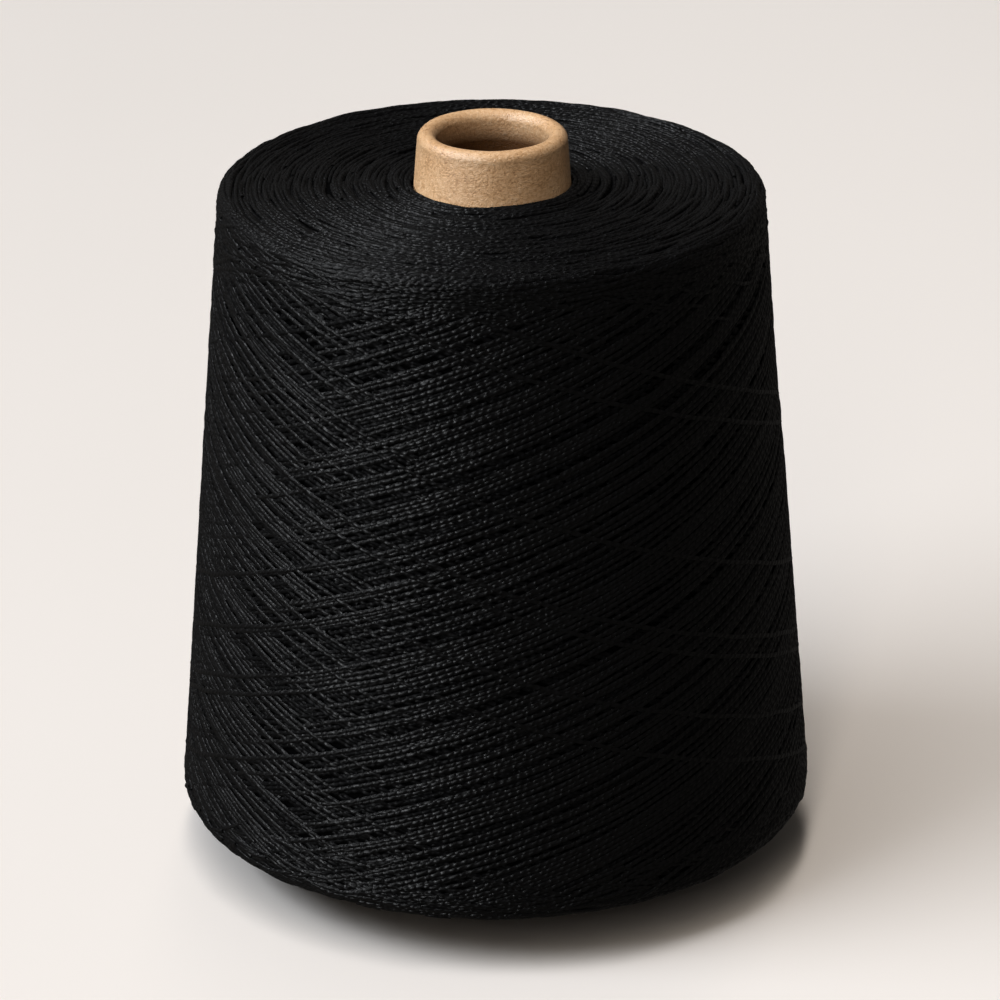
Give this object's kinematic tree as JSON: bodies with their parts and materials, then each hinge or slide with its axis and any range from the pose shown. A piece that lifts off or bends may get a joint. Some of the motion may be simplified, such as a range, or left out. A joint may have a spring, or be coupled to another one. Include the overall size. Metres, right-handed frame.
{
  "type": "cone of yarn",
  "caption": "Cone of black yarn: cross-wound conical yarn body with round edges on a tapered paper tube with a rolled nose and an open bore.",
  "frame": {"origin": "centre of the tube's base ring, on the surface that the cone stands on", "axes": "+Z along the cone's axis, towards its nose; -Y faces the camera"},
  "size_m": [0.15, 0.15, 0.178],
  "materials": {
    "kraft_paper": "matt brown paper, burnished at the rolled nose",
    "black_yarn": "plied black yarn with a soft low sheen"
  },
  "bodies": {
    "root": {"paper_tube": "kraft_paper", "wound_yarn": "black_yarn"}
  },
  "joints": []
}
